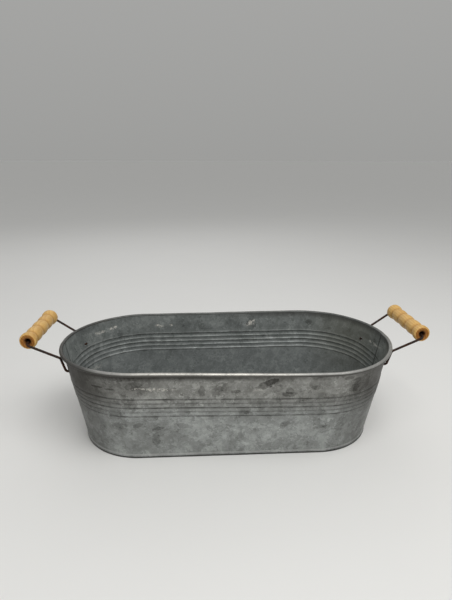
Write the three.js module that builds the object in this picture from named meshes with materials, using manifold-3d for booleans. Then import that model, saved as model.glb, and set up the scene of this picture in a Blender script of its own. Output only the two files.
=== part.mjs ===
// An oblong galvanized tub with a bail and a turned wooden grip at each end.
// Millimetres. +X runs along the tub, +Y to its back and +Z up from the middle of its base.
import * as THREE from "three";
import { mergeVertices } from "three/addons/utils/BufferGeometryUtils.js";
import Module from "manifold-3d";

const wasm = await Module();
wasm.setup();

// Tub
const rimLength = 420;
const rimWidth = 203;
const tubHeight = 122;
const baseWidth = 156;
const sheet = 0.4;
const gap = 0.3;
const rimWireRadius = 1.6;

// Foot and folded seams
const floorHeight = 3.4;
const footStep = 0.4;
const endSeamHalfWidth = 3.5;
const endSeamHalfAngle = THREE.MathUtils.degToRad(4.5);

// Rib band pressed into the walls
const ribBandHeight = 77;
const ribPitch = 6;
const ribDepth = 1.2;
const ribCount = 4;

// Bails
const bailWireRadius = 1.3;
const holeRadius = 2;
const holeHeight = 99;
const holeSpread = 41;
const hookRadius = 3.5;
const hookTipAngle = THREE.MathUtils.degToRad(40);
const bendRadius = 4;

// Grips, at the reach and height that they rest at
const gripReach = 235.5;
const gripHeight = 139;
const gripLength = 87;
const gripKnobRadius = 10;
const gripKnobLength = 13;
const gripNeckRadius = 7.9;
const gripBeadRadius = 8.9;
const gripGrooveRadius = 8.3;
const gripBoreRadius = 3.6;
const gripBeads = 3;

// Fineness of the round stretches
const endSegments = 9;
const rimWireSides = 8;
const curlSegments = 12;
const holeSides = 16;
const bailSides = 8;
const gripSides = 22;

// Sizes that follow from the ones above
const endAxis = (rimLength - rimWidth) / 2;
const layer = sheet + gap;
const curlRadius = rimWireRadius + gap + sheet / 2;
const rimRadius = rimWidth / 2 - curlRadius - sheet / 2;
const rimHeight = tubHeight - curlRadius - sheet / 2;
const footRadius = baseWidth / 2 - sheet / 2;
const footHeight = floorHeight + gap;
const flareHeight = footHeight + 2 * footStep;
const wallFoot = footRadius - footStep;
const wallTop = rimRadius - curlRadius;
const wallSlope = (wallTop - wallFoot) / (rimHeight - flareHeight);

const galvanized = new THREE.MeshStandardMaterial({ color: 0x8b8d8a, roughness: 0.45, metalness: 0.9 });
const galvanizedInner = new THREE.MeshStandardMaterial({ color: 0x7d8080, roughness: 0.5, metalness: 0.9 });
const darkWire = new THREE.MeshStandardMaterial({ color: 0x2a1d16, roughness: 0.6, metalness: 0.7 });
const turnedWood = new THREE.MeshStandardMaterial({ color: 0xc0924f, roughness: 0.5, metalness: 0 });

// Radius of the middle of the plain wall sheet at a height
function wallRadius(height) {
  return wallFoot + wallSlope * Math.max(0, height - flareHeight);
}

// Leaves only the positions, with shared corners merged and flat triangles dropped
function closedGeometry(geometry) {
  geometry.deleteAttribute("normal");
  geometry.deleteAttribute("uv");
  const merged = mergeVertices(geometry, 1e-4);
  const corners = merged.index.array;
  const kept = [];
  for (let i = 0; i < corners.length; i += 3) {
    const [a, b, c] = corners.slice(i, i + 3);
    if (a !== b && b !== c && c !== a) {
      kept.push(a, b, c);
    }
  }
  merged.setIndex(kept);
  return merged;
}

function toSolid(geometry) {
  const closed = closedGeometry(geometry);
  const vertProperties = new Float32Array(closed.attributes.position.array);
  const triVerts = new Uint32Array(closed.index.array);
  return new wasm.Manifold(new wasm.Mesh({ numProp: 3, vertProperties, triVerts }));
}

function fromSolid(solid) {
  const mesh = solid.getMesh();
  const geometry = new THREE.BufferGeometry();
  geometry.setAttribute("position", new THREE.BufferAttribute(new Float32Array(mesh.vertProperties), 3));
  geometry.setIndex(Array.from(mesh.triVerts));
  return geometry;
}

// Outline of a bent sheet from the line along its middle
function thicken(line, thickness) {
  const inner = [];
  const outer = [];
  line.forEach((point, i) => {
    const before = line[Math.max(0, i - 1)];
    const after = line[Math.min(line.length - 1, i + 1)];
    const into = point.clone().sub(before);
    const out = after.clone().sub(point);
    const first = (into.length() > 0 ? into : out).clone().normalize();
    const second = (out.length() > 0 ? out : into).clone().normalize();
    const along = first.clone().add(second).normalize();
    const reach = thickness / 2 / along.dot(first);
    const normal = new THREE.Vector2(-along.y, along.x).multiplyScalar(reach);
    inner.push(point.clone().add(normal));
    outer.push(point.clone().sub(normal));
  });
  return outer.concat(inner.reverse());
}

// Places round the oblong outline, each of which turns a radius about an end axis into x and y
function endStation(side, angle) {
  return (radius) => [side * endAxis + radius * Math.cos(angle), radius * Math.sin(angle)];
}

function seamStation(side, y) {
  return (radius) => [side * (endAxis + radius * Math.cos(endSeamHalfAngle)), y];
}

function halfTurn(station) {
  return (radius) => station(radius).map((value) => -value);
}

// From the left end's seam along the front to the right end's seam
function frontStations() {
  const stations = [];
  for (let i = 0; i <= endSegments; i += 1) {
    const share = i / endSegments;
    stations.push(endStation(-1, Math.PI + THREE.MathUtils.lerp(endSeamHalfAngle, Math.PI / 2, share)));
  }
  for (let i = endSegments; i >= 0; i -= 1) {
    const share = i / endSegments;
    stations.push(endStation(1, -THREE.MathUtils.lerp(endSeamHalfAngle, Math.PI / 2, share)));
  }
  return stations;
}

function loopStations() {
  const front = frontStations();
  return front.concat(front.map(halfTurn));
}

// Carries a closed outline of radius and height along the stations, as a ring or with two flat ends
function sweep(outlines, stations, isRing) {
  const count = outlines[0].length;
  const positions = [];
  const corners = [];
  stations.forEach((station, i) => {
    outlines[i].forEach((point) => positions.push(...station(point.x), point.y));
  });
  const spans = isRing ? stations.length : stations.length - 1;
  for (let i = 0; i < spans; i += 1) {
    const here = i * count;
    const next = ((i + 1) % stations.length) * count;
    for (let j = 0; j < count; j += 1) {
      const k = (j + 1) % count;
      corners.push(here + j, next + j, next + k);
      corners.push(here + j, next + k, here + k);
    }
  }
  if (!isRing) {
    const last = (stations.length - 1) * count;
    THREE.ShapeUtils.triangulateShape(outlines[0], []).forEach(([a, b, c]) => corners.push(a, b, c));
    THREE.ShapeUtils.triangulateShape(outlines.at(-1), []).forEach(([a, b, c]) => {
      corners.push(last + a, last + c, last + b);
    });
  }
  const geometry = new THREE.BufferGeometry();
  geometry.setAttribute("position", new THREE.Float32BufferAttribute(positions, 3));
  geometry.setIndex(corners);
  return geometry;
}

function evenSweep(outline, stations, isRing) {
  return sweep(stations.map(() => outline), stations, isRing);
}

// Outward step of the rib band: round ridges with deep grooves beside and between their pairs
function ribPoints(share) {
  const pointsPerRib = 4;
  const ridge = [0, 0.8, 1, 0.8];
  const shallowGroove = 0.4;
  const points = [];
  for (let i = 0; i <= ribCount * pointsPerRib; i += 1) {
    const rib = Math.floor(i / pointsPerRib);
    const isGroove = i % pointsPerRib === 0;
    const step = isGroove && rib % 2 === 1 ? shallowGroove : ridge[i % pointsPerRib];
    const height = ribBandHeight + (i / pointsPerRib - ribCount / 2) * ribPitch;
    points.push(new THREE.Vector2(wallRadius(height) + share * ribDepth * step, height));
  }
  return points;
}

// Wall sheet from the hem under the floor, round the foot and up to the end of the rolled rim
function wallOutline(ribShare) {
  const hemRadius = wallFoot - 2 * layer;
  const line = [
    new THREE.Vector2(hemRadius, floorHeight - layer),
    new THREE.Vector2(hemRadius, sheet / 2),
    new THREE.Vector2(footRadius, sheet / 2),
    new THREE.Vector2(footRadius, footHeight),
    new THREE.Vector2(wallFoot, flareHeight),
    ...ribPoints(ribShare),
  ];
  const curlTurn = THREE.MathUtils.degToRad(290);
  for (let i = 0; i <= curlSegments; i += 1) {
    const angle = Math.PI - (i / curlSegments) * curlTurn;
    const r = rimRadius + curlRadius * Math.cos(angle);
    line.push(new THREE.Vector2(r, rimHeight + curlRadius * Math.sin(angle)));
  }
  return thicken(line, sheet);
}

// Half of the wall between its two ends, without the end seams
function halfWall(facing) {
  const arc = frontStations();
  const cut = -gap / 2;
  const stations = [seamStation(-1, cut), ...arc, seamStation(1, cut)];
  const plain = wallOutline(0);
  const ribbed = wallOutline(1);
  const outlines = stations.map((_, i) => (i < 2 || i > stations.length - 3 ? plain : ribbed));
  return toSolid(sweep(outlines, facing > 0 ? stations.map(halfTurn) : stations, false));
}

// Upright strip of sheet in an end seam: its layers count outward from the wall, and y runs from one edge to
// the other
function seamStrip(side, innerLayer, outerLayer, yFrom, yTo, trim) {
  const bottom = flareHeight - trim;
  const top = rimHeight - curlRadius - sheet - gap + trim;
  const inner = innerLayer * layer - sheet / 2 - trim;
  const outer = outerLayer * layer + sheet / 2 + trim;
  const outline = [
    new THREE.Vector2(wallRadius(bottom) + inner, bottom),
    new THREE.Vector2(wallRadius(bottom) + outer, bottom),
    new THREE.Vector2(wallRadius(top) + outer, top),
    new THREE.Vector2(wallRadius(top) + inner, top),
  ];
  const edges = side > 0 ? [yFrom, yTo] : [yTo, yFrom];
  return toSolid(evenSweep(outline, edges.map((y) => seamStation(side, y)), false));
}

// Round hole that a bail's hook goes through, square to the wall
function wallHole(side, facing) {
  const middle = wallRadius(holeHeight);
  const angle = Math.asin(holeSpread / middle);
  const drillLength = 4 * holeRadius;
  const drill = new THREE.CylinderGeometry(holeRadius, holeRadius, drillLength, holeSides);
  drill.rotateZ(angle - Math.PI / 2);
  drill.translate(endAxis + middle * Math.cos(angle), holeSpread, holeHeight);
  drill.scale(side, facing, 1);
  if (side * facing < 0) {
    const corners = Array.from(drill.index.array);
    drill.setIndex(corners.reverse());
  }
  return toSolid(drill);
}

function frontWall() {
  const width = endSeamHalfWidth;
  let solid = halfWall(-1);
  for (const side of [-1, 1]) {
    solid = solid.add(seamStrip(side, 0, 0, -width, width, 0));
    solid = solid.add(seamStrip(side, 0, 2, width - sheet, width, 0));
    solid = solid.add(seamStrip(side, 2, 2, layer - width, width, 0));
    solid = solid.subtract(wallHole(side, -1));
  }
  return fromSolid(solid);
}

function backWall() {
  const width = endSeamHalfWidth;
  let solid = halfWall(1);
  for (const side of [-1, 1]) {
    solid = solid.subtract(seamStrip(side, 0, 0, -gap, width + gap, gap));
    solid = solid.add(seamStrip(side, 0, 3, width + gap, width + layer, 0));
    solid = solid.add(seamStrip(side, 3, 3, -width, width + layer, 0));
    solid = solid.add(seamStrip(side, 1, 3, -width, sheet - width, 0));
    solid = solid.add(seamStrip(side, 1, 1, -width, width - layer, 0));
    solid = solid.subtract(wallHole(side, 1));
  }
  return fromSolid(solid);
}

// Bottom sheet: a floor with its edge turned down into the hem of the walls
function bottomPan() {
  const flange = wallFoot - layer;
  const line = [
    new THREE.Vector2(0, floorHeight - sheet / 2),
    new THREE.Vector2(flange, floorHeight - sheet / 2),
    new THREE.Vector2(flange, layer),
  ];
  return closedGeometry(evenSweep(thicken(line, sheet), loopStations(), true));
}

function rimWire() {
  const circle = [];
  for (let i = 0; i < rimWireSides; i += 1) {
    const angle = (i / rimWireSides) * 2 * Math.PI;
    const r = rimRadius + rimWireRadius * Math.cos(angle);
    circle.push(new THREE.Vector2(r, rimHeight + rimWireRadius * Math.sin(angle)));
  }
  return closedGeometry(evenSweep(circle, loopStations(), true));
}

class Arc extends THREE.Curve {
  constructor(centre, start, axis, angle) {
    super();
    Object.assign(this, { centre, start, axis, angle });
  }

  getPoint(t) {
    return this.start.clone().sub(this.centre).applyAxisAngle(this.axis, this.angle * t).add(this.centre);
  }
}

// Wire of straight runs and bends, with a step for each straight run and several for each bend
class BentWire extends THREE.Curve {
  constructor(runs) {
    super();
    this.runs = runs;
    this.steps = runs.reduce((sum, run) => sum + run.steps, 0);
  }

  getPoint(t) {
    let step = THREE.MathUtils.clamp(t, 0, 1) * this.steps;
    let run = 0;
    while (run < this.runs.length - 1 && step > this.runs[run].steps) {
      step -= this.runs[run].steps;
      run += 1;
    }
    return this.runs[run].curve.getPoint(step / this.runs[run].steps);
  }

  getPointAt(u) {
    return this.getPoint(u);
  }

  getTangentAt(u, target) {
    return this.getTangent(u, target);
  }
}

// Bend that rounds the corner between two straight runs
function roundCorner(before, corner, after, radius) {
  const back = before.clone().sub(corner).normalize();
  const on = after.clone().sub(corner).normalize();
  const half = back.angleTo(on) / 2;
  const start = corner.clone().addScaledVector(back, radius / Math.tan(half));
  const centre = corner.clone().addScaledVector(back.clone().add(on).normalize(), radius / Math.sin(half));
  const axis = on.clone().cross(back).normalize();
  return new Arc(centre, start, axis, Math.PI - 2 * half);
}

// Crossbar of a bail, bowed up so that the grip hangs on its middle and its ends lie low in the bore: a wide
// bend over the middle, with straight ends that slope down to the elbows
function bailCrossbar() {
  const play = gripBoreRadius - bailWireRadius - gap;
  const rise = 2 * play;
  const reach = gripLength / 2;
  const radius = reach ** 2 / (4 * rise);
  const slope = Math.atan(((4 - 2 * Math.SQRT2) * rise) / reach);
  const elbow = reach + gap + bendRadius;
  const peak = gripHeight + play + radius * (1 / Math.cos(slope) - 1);
  return { radius, elbow, peak, elbowHeight: peak - elbow * Math.tan(slope) };
}

const crossbar = bailCrossbar();

// Places on one leg of a bail at the right end, in the upright plane through its hole: the leg runs up beside
// the wall, and under the rim's bead it has a kink, from which an arm just clears the bead and reaches the elbow
function bailLeg() {
  const across = (radius) => endAxis + Math.sqrt(radius ** 2 - holeSpread ** 2);
  const hole = new THREE.Vector2(across(wallRadius(holeHeight)), holeHeight);
  const above = new THREE.Vector2(across(wallRadius(holeHeight + hookRadius)), holeHeight + hookRadius);
  const up = above.sub(hole).normalize();
  const pivot = hole.clone().addScaledVector(up, hookRadius);
  const bead = new THREE.Vector2(across(rimRadius), rimHeight);
  const beadReach = across(rimRadius + curlRadius + sheet / 2) - bead.x;
  const clear = beadReach + bailWireRadius + gap;
  const elbow = new THREE.Vector2(gripReach, crossbar.elbowHeight);
  const toBead = bead.clone().sub(elbow);
  const turn = toBead.angle() + Math.asin(clear / toBead.length());
  const underBead = new THREE.Vector2(-Math.sin(turn), Math.cos(turn));
  const kink = bead.clone().addScaledVector(underBead, clear);
  const toKink = kink.clone().sub(pivot);
  const leaveTurn = toKink.angle() - Math.acos(hookRadius / toKink.length());
  const outward = new THREE.Vector2(Math.cos(leaveTurn), Math.sin(leaveTurn));
  const leave = pivot.clone().addScaledVector(outward, hookRadius);
  return { pivot, hole, leave, kink };
}

const leg = bailLeg();

// Hook that turns about the bail's pivot: in through the hole and up inside the wall
function hookArc(facing) {
  const y = facing * holeSpread;
  const centre = new THREE.Vector3(leg.pivot.x, y, leg.pivot.y);
  const hole = new THREE.Vector3(leg.hole.x, y, leg.hole.y).sub(centre);
  const leave = new THREE.Vector3(leg.leave.x, y, leg.leave.y).sub(centre);
  const turn = hole.angleTo(leave) + hookTipAngle;
  const axis = new THREE.Vector3(0, -1, 0);
  const tip = leave.clone().applyAxisAngle(axis, -turn).add(centre);
  return facing < 0
    ? new Arc(centre, tip, axis, turn)
    : new Arc(centre, leave.add(centre), axis, -turn);
}

function bailGeometry() {
  const near = [
    new THREE.Vector3(leg.leave.x, -holeSpread, leg.leave.y),
    new THREE.Vector3(leg.kink.x, -holeSpread, leg.kink.y),
    new THREE.Vector3(gripReach, -crossbar.elbow, crossbar.elbowHeight),
  ];
  const middle = new THREE.Vector3(gripReach, 0, crossbar.peak);
  const far = near.map((point) => new THREE.Vector3(point.x, -point.y, point.z)).reverse();
  const corners = [...near, middle, ...far];
  const hookSteps = 10;
  const bendSteps = 5;
  const runs = [{ curve: hookArc(-1), steps: hookSteps }];
  let from = corners[0];
  for (let i = 1; i < corners.length - 1; i += 1) {
    const radius = corners[i] === middle ? crossbar.radius : bendRadius;
    const bend = roundCorner(corners[i - 1], corners[i], corners[i + 1], radius);
    runs.push({ curve: new THREE.LineCurve3(from, bend.getPoint(0)), steps: 1 });
    runs.push({ curve: bend, steps: bendSteps });
    from = bend.getPoint(1);
  }
  runs.push({ curve: new THREE.LineCurve3(from, corners.at(-1)), steps: 1 });
  runs.push({ curve: hookArc(1), steps: hookSteps });
  const path = new BentWire(runs);
  const section = new THREE.Shape();
  section.absarc(0, 0, bailWireRadius, 0, 2 * Math.PI);
  const options = { steps: path.steps, curveSegments: bailSides, extrudePath: path, bevelEnabled: false };
  return closedGeometry(new THREE.ExtrudeGeometry(section, options));
}

// Turned grip: a round-lipped knob with a dished face at each end, beads between narrow necks, and a wide bore
function gripGeometry() {
  const end = gripLength / 2;
  const lip = gripKnobLength / 5;
  const dish = lip / 2;
  const beadLength = (gripLength - 2 * gripKnobLength) / gripBeads;
  const half = [
    new THREE.Vector2(gripBoreRadius, dish - end),
    new THREE.Vector2(gripKnobRadius - lip, -end),
    new THREE.Vector2(gripKnobRadius - 0.3 * lip, 0.3 * lip - end),
    new THREE.Vector2(gripKnobRadius, lip - end),
    new THREE.Vector2(gripKnobRadius, 2 * lip - end),
    new THREE.Vector2(THREE.MathUtils.lerp(gripNeckRadius, gripKnobRadius, 0.7), 3.4 * lip - end),
    new THREE.Vector2(THREE.MathUtils.lerp(gripNeckRadius, gripKnobRadius, 0.15), 4.4 * lip - end),
    new THREE.Vector2(gripNeckRadius, gripKnobLength - end),
  ];
  const beads = [];
  const pointsPerBead = 4;
  const pointCount = gripBeads * pointsPerBead;
  for (let i = 1; i < pointCount; i += 1) {
    const isOuterSlope = i < pointsPerBead / 2 || i > pointCount - pointsPerBead / 2;
    const low = isOuterSlope ? gripNeckRadius : gripGrooveRadius;
    const share = Math.abs(Math.sin((Math.PI * i) / pointsPerBead));
    const y = gripKnobLength - end + (i / pointsPerBead) * beadLength;
    beads.push(new THREE.Vector2(THREE.MathUtils.lerp(low, gripBeadRadius, share), y));
  }
  const otherHalf = half.map((point) => new THREE.Vector2(point.x, -point.y)).reverse();
  const outline = [...half, ...beads, ...otherHalf, half[0]];
  return closedGeometry(new THREE.LatheGeometry(outline, gripSides));
}

function addPiece(group, name, geometry, material) {
  const mesh = new THREE.Mesh(geometry, material);
  mesh.name = name;
  group.add(mesh);
  return mesh;
}

// Bail with its loose grip, made for the right end and turned half round for the left one
function handle(side) {
  const group = new THREE.Group();
  const word = side > 0 ? "right" : "left";
  addPiece(group, `${word}_bail`, bailGeometry(), darkWire);
  const grip = addPiece(group, `${word}_grip`, gripGeometry(), turnedWood);
  grip.position.set(gripReach, 0, gripHeight);
  group.rotation.z = side > 0 ? 0 : Math.PI;
  return group;
}

const tub = new THREE.Group();
addPiece(tub, "front_wall", frontWall(), galvanized);
addPiece(tub, "back_wall", backWall(), galvanized);
addPiece(tub, "bottom_pan", bottomPan(), galvanizedInner);
addPiece(tub, "rim_wire", rimWire(), galvanizedInner);
tub.add(handle(-1), handle(1));

export default tub;
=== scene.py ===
import math
import bmesh
import bpy
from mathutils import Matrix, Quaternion, Vector, noise


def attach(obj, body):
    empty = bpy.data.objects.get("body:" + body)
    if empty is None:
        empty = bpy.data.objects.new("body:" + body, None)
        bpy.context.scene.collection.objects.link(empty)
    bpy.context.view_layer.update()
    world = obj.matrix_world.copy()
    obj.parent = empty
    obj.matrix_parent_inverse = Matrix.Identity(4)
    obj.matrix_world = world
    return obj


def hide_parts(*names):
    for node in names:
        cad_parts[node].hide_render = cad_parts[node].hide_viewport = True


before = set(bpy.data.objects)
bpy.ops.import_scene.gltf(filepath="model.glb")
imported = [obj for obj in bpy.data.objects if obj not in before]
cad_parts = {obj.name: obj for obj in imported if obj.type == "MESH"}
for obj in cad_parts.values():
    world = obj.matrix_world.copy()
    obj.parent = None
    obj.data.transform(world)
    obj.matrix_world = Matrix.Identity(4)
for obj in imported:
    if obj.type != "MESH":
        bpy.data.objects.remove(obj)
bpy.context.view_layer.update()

# Oblong galvanized tub with a wire bail and a turned wooden grip at each end
# Sizes of the pieces and of marks on them are in millimetres, and all others in metres
mm = 0.001

tub = {
    "rimLength": 420.0,
    "rimWidth": 203.0,
    "height": 122.0,
    "baseWidth": 156.0,
    "sheet": 0.4,
    "gap": 0.3,
    "rimWireRadius": 1.6,
    "floorHeight": 3.4,
    "footStep": 0.4,
    "ribHeight": 77.0,
    "ribPitch": 6.0,
    "ribCount": 4,
    "ribCrown": 0.5,
    "grooveDepth": 0.3,
    "grooveWidth": 1.0,
    "shallowGroove": 0.55,  # share of the depth that every second groove has
    "ribDrop": 3.7,  # the rib band runs this much low along the front and high along the back
    "ribTurn": 0.64,  # share of an end that the band takes to change height
    "seamHalfWidth": 3.5,
    "seamHalfAngle": math.radians(4.5),
    "curlTurn": math.radians(290),
    "holeHeight": 99.0,
    "holeSpread": 41.0,
    "holeRadius": 1.75,
}

layer = tub["sheet"] + tub["gap"]
endAxis = (tub["rimLength"] - tub["rimWidth"]) / 2
curlRadius = tub["rimWireRadius"] + tub["gap"] + tub["sheet"] / 2
rimRadius = tub["rimWidth"] / 2 - curlRadius - tub["sheet"] / 2
rimHeight = tub["height"] - curlRadius - tub["sheet"] / 2
footRadius = tub["baseWidth"] / 2 - tub["sheet"] / 2
footHeight = tub["floorHeight"] + tub["gap"]
flareHeight = footHeight + 2 * tub["footStep"]
wallFoot = footRadius - tub["footStep"]
wallTop = rimRadius - curlRadius
wallSlope = (wallTop - wallFoot) / (rimHeight - flareHeight)
ribBottom = tub["ribHeight"] - tub["ribPitch"] * tub["ribCount"] / 2
ribTop = tub["ribHeight"] + tub["ribPitch"] * tub["ribCount"] / 2
seamTop = rimHeight - curlRadius - tub["sheet"] - tub["gap"]

# The used tub is out of true: its sides lean, its rim is wavy and sags in front, and its sheet is dented
# All of it fades out towards the holes, where the bails have to fit
wear = {
    "frontLean": -6.2,  # sideways step of the rim for 100 mm along the tub
    "backLean": 2.8,
    "leanReach": 205.0,  # the lean and the sag end this far from the middle
    "frontSag": 1.4,
    "holeCalm": (7.0, 26.0),  # distances from a hole between which the lean and the sag come in
    "rimWave": 0.3,
    "waveLength": (38.0, 90.0),
    "waveSlice": 3.0,
    "waveHeights": (100.0, 118.0),
    "waveEnds": (150.0, 190.0),
    "dentDepth": 0.4,
    "dentLow": (8.0, 30.0),
    "dentHigh": (100.0, 114.0),
    "dentEnd": 60.0,  # length of a round end over which the dents fade out
    "broadDent": (70.0, 70.0, 45.0),
    "smallDent": (24.0, 1.0, 20.0),
    "smallShare": 0.4,
}


def mix(a, b, share):
    return a + (b - a) * share


def smoothStep(low, high, value):
    share = min(1.0, max(0.0, (value - low) / (high - low)))
    return share * share * (3 - 2 * share)


def evenSteps(start, end, count):
    return [mix(start, end, i / count) for i in range(count + 1)]


# Even steps through several stretches, each given by its end and its count
def chainSteps(start, *stretches):
    steps = [start]
    for end, count in stretches:
        steps += evenSteps(start, end, count)[1:]
        start = end
    return steps


def wallRadius(height):
    return wallFoot + wallSlope * max(0.0, height - flareHeight)


# Node helpers
class NodeBench:
    def __init__(self, tree):
        self.tree = tree

    def feed(self, socket, value):
        if isinstance(value, bpy.types.NodeSocket):
            self.tree.links.new(value, socket)
        else:
            socket.default_value = value

    def add(self, kind, settings=None, inputs=None):
        node = self.tree.nodes.new(kind)
        for name, value in (settings or {}).items():
            setattr(node, name, value)
        for name, value in (inputs or {}).items():
            self.feed(node.inputs[name], value)
        return node

    def use(self, group, inputs):
        return self.add("ShaderNodeGroup", {"node_tree": group}, inputs).outputs

    def math(self, operation, *values):
        node = self.add("ShaderNodeMath", {"operation": operation})
        for socket, value in zip(node.inputs, values):
            self.feed(socket, value)
        return node.outputs[0]

    def vector(self, operation, first, second=(0.0, 0.0, 0.0)):
        node = self.add("ShaderNodeVectorMath", {"operation": operation})
        self.feed(node.inputs[0], first)
        if operation == "SCALE":
            self.feed(node.inputs["Scale"], second)
        elif operation != "LENGTH":
            self.feed(node.inputs[1], second)
        return node.outputs["Value" if operation == "LENGTH" else "Vector"]

    # A step for each axis, to both sides, from the channels of a colour
    def sway(self, colour):
        return self.vector("SUBTRACT", colour, (0.5, 0.5, 0.5))

    # The first vector moved by a share of the second
    def nudge(self, vector, step, share):
        return self.vector("ADD", vector, self.vector("SCALE", step, share))

    def between(self, value, low, high, toLow=0.0, toHigh=1.0, shape="SMOOTHSTEP"):
        inputs = {"Value": value, "From Min": low, "From Max": high, "To Min": toLow, "To Max": toHigh}
        return self.add("ShaderNodeMapRange", {"interpolation_type": shape}, inputs).outputs["Result"]

    # A value with others added to it, each times its amount
    def pile(self, value, additions):
        for addition, amount in additions:
            value = self.math("MULTIPLY_ADD", addition, amount, value)
        return value

    def blend(self, factor, first, second, kind="MIX"):
        node = self.add("ShaderNodeMix", {"data_type": "RGBA", "blend_type": kind})
        self.feed(node.inputs[0], factor)
        self.feed(node.inputs[6], first)
        self.feed(node.inputs[7], second)
        return node.outputs[2]

    def stain(self, colour, mask, strength, stainColour):
        return self.blend(self.math("MULTIPLY", mask, strength), colour, stainColour)

    # A colour made lighter or darker by a value
    def tone(self, colour, value):
        grey = self.add("ShaderNodeCombineColor", None, {"Red": value, "Green": value, "Blue": value})
        return self.blend(1.0, colour, grey.outputs["Color"], "MULTIPLY")

    def ramp(self, factor, stops):
        node = self.add("ShaderNodeValToRGB", None, {"Fac": factor})
        elements = node.color_ramp.elements
        while len(elements) < len(stops):
            elements.new(1.0)
        for element, (place, colour) in zip(elements, stops):
            element.position = place
            element.color = (*colour, 1.0)
        return node.outputs["Color"]

    def noise(self, position, scale, detail, rough=0.5, kind="Fac"):
        inputs = {"Vector": position, "Scale": scale, "Detail": detail, "Roughness": rough}
        return self.add("ShaderNodeTexNoise", None, inputs).outputs[kind]

    def cells(self, position, scale, seed, measure="EUCLIDEAN"):
        inputs = {"Vector": position, "W": seed, "Scale": scale, "Randomness": 1.0}
        settings = {"voronoi_dimensions": "4D", "distance": measure}
        return self.add("ShaderNodeTexVoronoi", settings, inputs).outputs["Color"]

    def parts(self, vector):
        return self.add("ShaderNodeSeparateXYZ", None, {"Vector": vector}).outputs

    def position(self):
        return self.add("ShaderNodeTexCoord").outputs["Object"]


def newGroup(name, inputs, outputs):
    tree = bpy.data.node_groups.new(name, "ShaderNodeTree")
    for socketName, kind, value in inputs:
        socket = tree.interface.new_socket(socketName, in_out="INPUT", socket_type=kind)
        if value is not None:
            socket.default_value = value
    for socketName, kind in outputs:
        tree.interface.new_socket(socketName, in_out="OUTPUT", socket_type=kind)
    bench = NodeBench(tree)
    return tree, bench, bench.add("NodeGroupInput").outputs, bench.add("NodeGroupOutput").inputs


def newMaterial(name):
    material = bpy.data.materials.new(name)
    material.use_nodes = True
    bench = NodeBench(material.node_tree)
    return material, bench, material.node_tree.nodes["Principled BSDF"]


def addBump(bench, shader, height, strength, distance):
    inputs = {"Height": height, "Strength": strength, "Distance": distance}
    bench.feed(shader.inputs["Normal"], bench.add("ShaderNodeBump", None, inputs).outputs["Normal"])


floatSocket = "NodeSocketFloat"
vectorSocket = "NodeSocketVector"
placeInput = ("Position", vectorSocket, None)

# In the finishes, three values for a noise are its scale, detail and roughness
# Two or four values for a fade are where it starts and ends, and what it is there
spangle = {
    "seedStep": (0.31, 0.17, 0.23),
    "drift": (150.0, 4.0, 0.7),
    "driftStep": 0.011,
    "chipScale": 340.0,
    "chipSeed": 3.0,
    "chipStep": 0.004,
    "bend": (50.0, 2.0, 0.5),
    "bendStep": 0.012,
    "smallFlakes": 2.7,  # scales of the small flakes and the plates, as shares of the large flakes' scale
    "plates": 0.72,
    "cloud": (17.0, 3.0, 0.55),
    "mottle": (62.0, 4.0, 0.62),
    "speckle": (300.0, 3.0, 0.65),
    "grain": (900.0, 3.0, 0.6),
    "baseTone": 0.385,
    "plateTone": 0.11,
    "mottleTone": 0.36,
    "largeTone": 0.10,
    "smallTone": 0.15,
    "speckleTone": 0.22,
    "darkLarge": (0.15, 0.10),  # a few flakes stand out
    "brightSmall": (0.86, 0.92),
    "darkSmall": (0.14, 0.08),
    "darkTone": -0.09,
    "brightTone": 0.08,
}


# Zinc bloom: soft clouds, crisp crystal plates, large and small flakes with ragged edges, and a fine grain
def makeSpangle():
    inputs = [placeInput, ("Flakes", floatSocket, 75.0), ("Seed", floatSocket, 0.0),
              ("Cloudy", floatSocket, 0.5)]
    outputs = [("Tone", floatSocket), ("Grain", floatSocket)]
    tree, bench, given, out = newGroup("zincSpangle", inputs, outputs)
    flakes, seed = given["Flakes"], given["Seed"]
    position = bench.nudge(given["Position"], spangle["seedStep"], seed)
    drift = bench.sway(bench.noise(position, *spangle["drift"], "Color"))
    chips = bench.sway(bench.cells(position, spangle["chipScale"], spangle["chipSeed"]))
    moved = bench.nudge(position, drift, spangle["driftStep"])
    moved = bench.nudge(moved, chips, spangle["chipStep"])
    large = bench.parts(bench.cells(moved, flakes, seed))
    smallScale = bench.math("MULTIPLY", flakes, spangle["smallFlakes"])
    small = bench.parts(bench.cells(moved, smallScale, seed))
    bend = bench.sway(bench.noise(position, *spangle["bend"], "Color"))
    bent = bench.nudge(position, bend, spangle["bendStep"])
    plateScale = bench.math("MULTIPLY", flakes, spangle["plates"])
    plate = bench.parts(bench.cells(bent, plateScale, seed, "MANHATTAN"))
    cloud = bench.math("SUBTRACT", bench.noise(position, *spangle["cloud"]), 0.5)
    mottle = bench.math("SUBTRACT", bench.noise(moved, *spangle["mottle"]), 0.5)
    speckle = bench.math("SUBTRACT", bench.noise(position, *spangle["speckle"]), 0.5)
    tone = bench.pile(spangle["baseTone"], [
        (cloud, given["Cloudy"]),
        (plate[0], spangle["plateTone"]),
        (mottle, spangle["mottleTone"]),
        (large[0], spangle["largeTone"]),
        (small[0], spangle["smallTone"]),
        (speckle, spangle["speckleTone"]),
        (bench.between(large[1], *spangle["darkLarge"]), spangle["darkTone"]),
        (bench.between(small[1], *spangle["brightSmall"]), spangle["brightTone"]),
        (bench.between(small[2], *spangle["darkSmall"]), spangle["darkTone"]),
    ])
    bench.feed(out["Tone"], tone)
    bench.feed(out["Grain"], bench.noise(position, *spangle["grain"]))
    return tree


splinter = {"chipScale": 260.0, "chipSeed": 1.0, "waves": (110.0, 3.0, 0.6), "waveShare": 2.4}


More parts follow.
